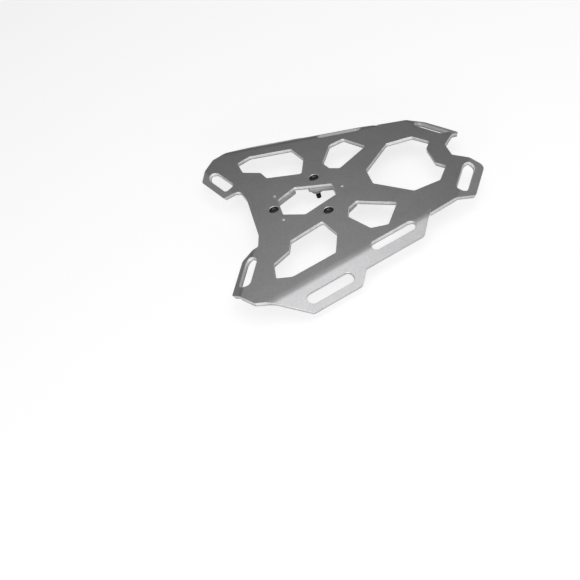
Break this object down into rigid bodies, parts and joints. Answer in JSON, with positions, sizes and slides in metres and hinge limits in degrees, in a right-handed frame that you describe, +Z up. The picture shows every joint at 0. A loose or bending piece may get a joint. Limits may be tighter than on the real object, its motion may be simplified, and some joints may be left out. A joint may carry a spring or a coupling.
{
  "type": "motorcycle luggage rack",
  "caption": "Flat luggage rack folded from aluminium sheet: side flanges and corner lips bent down, strap slots, lightening windows, and screws on distance bushes.",
  "frame": {"origin": "axis of the front screw, in the seat plane under the distance bushes", "axes": "+X to the rear of the vehicle, +Y to its right, +Z up"},
  "size_m": [0.3141, 0.3404, 0.031],
  "materials": {
    "plate_aluminium": "satin, fine matt blasted, cut edges bright",
    "bar_aluminium": "as sawn and milled",
    "screw_steel": "black oxide",
    "bush_steel": "turned, zinc plated",
    "rivet_aluminium": "bright, set flush"
  },
  "bodies": {
    "root": {"deck_plate": "plate_aluminium", "front_spacer_bar": "bar_aluminium", "rear_spacer_bar": "bar_aluminium", "screw_front": "screw_steel", "bush_front": "bush_steel", "screw_rear_right": "screw_steel", "bush_rear_right": "bush_steel", "screw_rear_left": "screw_steel", "bush_rear_left": "bush_steel", "rivet_front_right": "rivet_aluminium", "rivet_front_left": "rivet_aluminium", "rivet_rear": "rivet_aluminium"}
  },
  "joints": []
}
